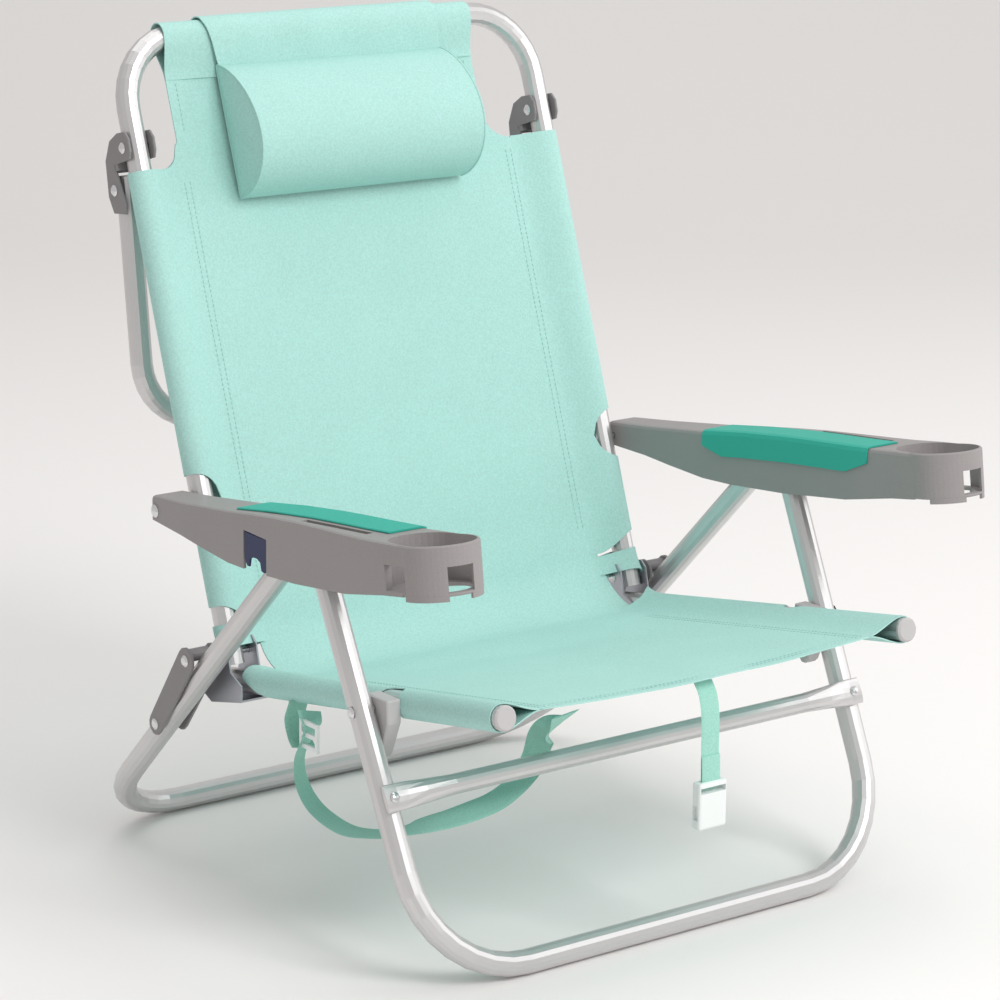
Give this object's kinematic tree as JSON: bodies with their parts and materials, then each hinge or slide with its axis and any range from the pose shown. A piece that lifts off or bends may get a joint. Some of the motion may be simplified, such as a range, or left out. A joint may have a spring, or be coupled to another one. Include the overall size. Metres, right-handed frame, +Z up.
{
  "type": "folding beach chair",
  "caption": "Low folding lounge chair for the beach: bent tube frame, cloth sling, moulded armrests with cup rings, head pillow, head stand and straps.",
  "frame": {"origin": "on the floor, under the centre of the chair's outer box", "axes": "+X to the right seen from the front, the sitter faces -Y, +Z up"},
  "size_m": [0.632, 0.6273, 0.7689],
  "materials": {
    "tube": "satin anodised",
    "arm_plastic": "fine-grained moulded, warm grey",
    "bracket_plastic": "moulded, dark grey",
    "hinge_steel": "galvanised",
    "rivet_steel": "bright rivets",
    "pad_rubber": "soft teal skin",
    "opener_enamel": "navy blue enamel",
    "mint_cloth": "plain woven polyester, mint",
    "mint_webbing": "woven webbing, mint",
    "clear_plastic": "translucent white",
    "plug_plastic": "light grey"
  },
  "bodies": {
    "seat": {"seat_tube_left": "tube", "seat_tube_right": "tube", "seat_plug_left": "plug_plastic", "seat_plug_right": "plug_plastic", "hinge_channel_left": "hinge_steel", "hinge_channel_right": "hinge_steel", "leg_spacer_left": "plug_plastic", "leg_spacer_right": "plug_plastic", "leg_pivot_pin_left": "rivet_steel", "leg_pivot_pin_right": "rivet_steel", "seat_sling": "mint_cloth", "carry_strap": "mint_webbing", "strap_adjuster": "clear_plastic", "buckle_strap": "mint_webbing", "strap_buckle": "clear_plastic"},
    "hinge_pins": {"back_hinge_pin_left": "rivet_steel", "back_hinge_pin_right": "rivet_steel"},
    "back": {"back_frame_tube": "tube", "back_sling": "mint_cloth", "stand_bracket_left": "bracket_plastic", "stand_bracket_right": "bracket_plastic", "bracket_rivet_inner_left": "rivet_steel", "bracket_rivet_inner_right": "rivet_steel", "bracket_rivet_outer_left": "rivet_steel", "bracket_rivet_outer_right": "rivet_steel", "head_stand_pin_left": "rivet_steel", "head_stand_pin_right": "rivet_steel"},
    "head_stand": {"head_stand_tube": "tube"},
    "pillow": {"pillow": "mint_cloth", "pillow_flap": "mint_cloth"},
    "arm_bolts": {"arm_bolt_left": "rivet_steel", "arm_bolt_right": "rivet_steel"},
    "armrest_left": {"armrest_left": "arm_plastic", "arm_pad_left": "pad_rubber", "bottle_opener": "opener_enamel"},
    "armrest_right": {"armrest_right": "arm_plastic", "arm_pad_right": "pad_rubber"},
    "front_legs": {"front_leg_tube": "tube", "cross_bar": "tube", "cross_bar_rivet_left": "rivet_steel", "cross_bar_rivet_right": "rivet_steel"},
    "rear_legs": {"rear_leg_tube": "tube", "link_low_pin_left": "rivet_steel", "link_low_pin_right": "rivet_steel"},
    "rear_links": {"rear_link_left": "bracket_plastic", "rear_link_right": "bracket_plastic", "link_top_pin_left": "rivet_steel", "link_top_pin_right": "rivet_steel"}
  },
  "joints": [
    {"name": "back_recline", "type": "hinge", "parent": "seat", "child": "hinge_pins", "pos_m": [0, 0.1116, 0.214], "axis": [-1, 0, 0], "range_deg": [0, 68]},
    {"name": "chair_fold", "type": "hinge", "parent": "hinge_pins", "child": "back", "pos_m": [0, 0.1116, 0.214], "axis": [1, 0, 0], "range_deg": [0, 88]},
    {"name": "arm_recline", "type": "hinge", "parent": "back", "child": "arm_bolts", "pos_m": [0, 0.157, 0.345], "axis": [1, 0, 0], "range_deg": [0, 47.2]},
    {"name": "arm_fold_left", "type": "hinge", "parent": "arm_bolts", "child": "armrest_left", "pos_m": [0, 0.157, 0.345], "axis": [-1, 0, 0], "range_deg": [0, 93.5]},
    {"name": "arm_fold_right", "type": "hinge", "parent": "arm_bolts", "child": "armrest_right", "pos_m": [0, 0.157, 0.345], "axis": [-1, 0, 0], "range_deg": [0, 93.5]},
    {"name": "front_leg_fold", "type": "hinge", "parent": "seat", "child": "front_legs", "pos_m": [0, -0.1417, 0.22988], "axis": [1, 0, 0], "range_deg": [0, 93.5], "deforming": ["carry_strap"]},
    {"name": "rear_leg_fold", "type": "hinge", "parent": "front_legs", "child": "rear_legs", "pos_m": [0, -0.0647, 0.352], "axis": [-1, 0, 0], "range_deg": [0, 69.1]},
    {"name": "rear_link_fold", "type": "hinge", "parent": "rear_legs", "child": "rear_links", "pos_m": [0, 0.1648, 0.1404], "axis": [-1, 0, 0], "range_deg": [0, 135.6]},
    {"name": "head_stand_swing", "type": "hinge", "parent": "back", "child": "head_stand", "pos_m": [0, 0.2808, 0.6175], "axis": [1, 0, 0], "range_deg": [0, 95]},
    {"name": "pillow_lift", "type": "hinge", "parent": "back", "child": "pillow", "pos_m": [0, 0.2988, 0.7538], "axis": [-1, 0, 0], "range_deg": [0, 60]}
  ],
  "couplings": [
    {"joint": "arm_recline", "follows": "back_recline", "ratio": 0.693},
    {"joint": "arm_fold_left", "follows": "chair_fold", "ratio": 1.061},
    {"joint": "arm_fold_right", "follows": "chair_fold", "ratio": 1.061},
    {"joint": "front_leg_fold", "follows": "chair_fold", "ratio": 1.06},
    {"joint": "rear_leg_fold", "follows": "chair_fold", "ratio": 0.784},
    {"joint": "rear_link_fold", "follows": "chair_fold", "ratio": 1.54}
  ]
}
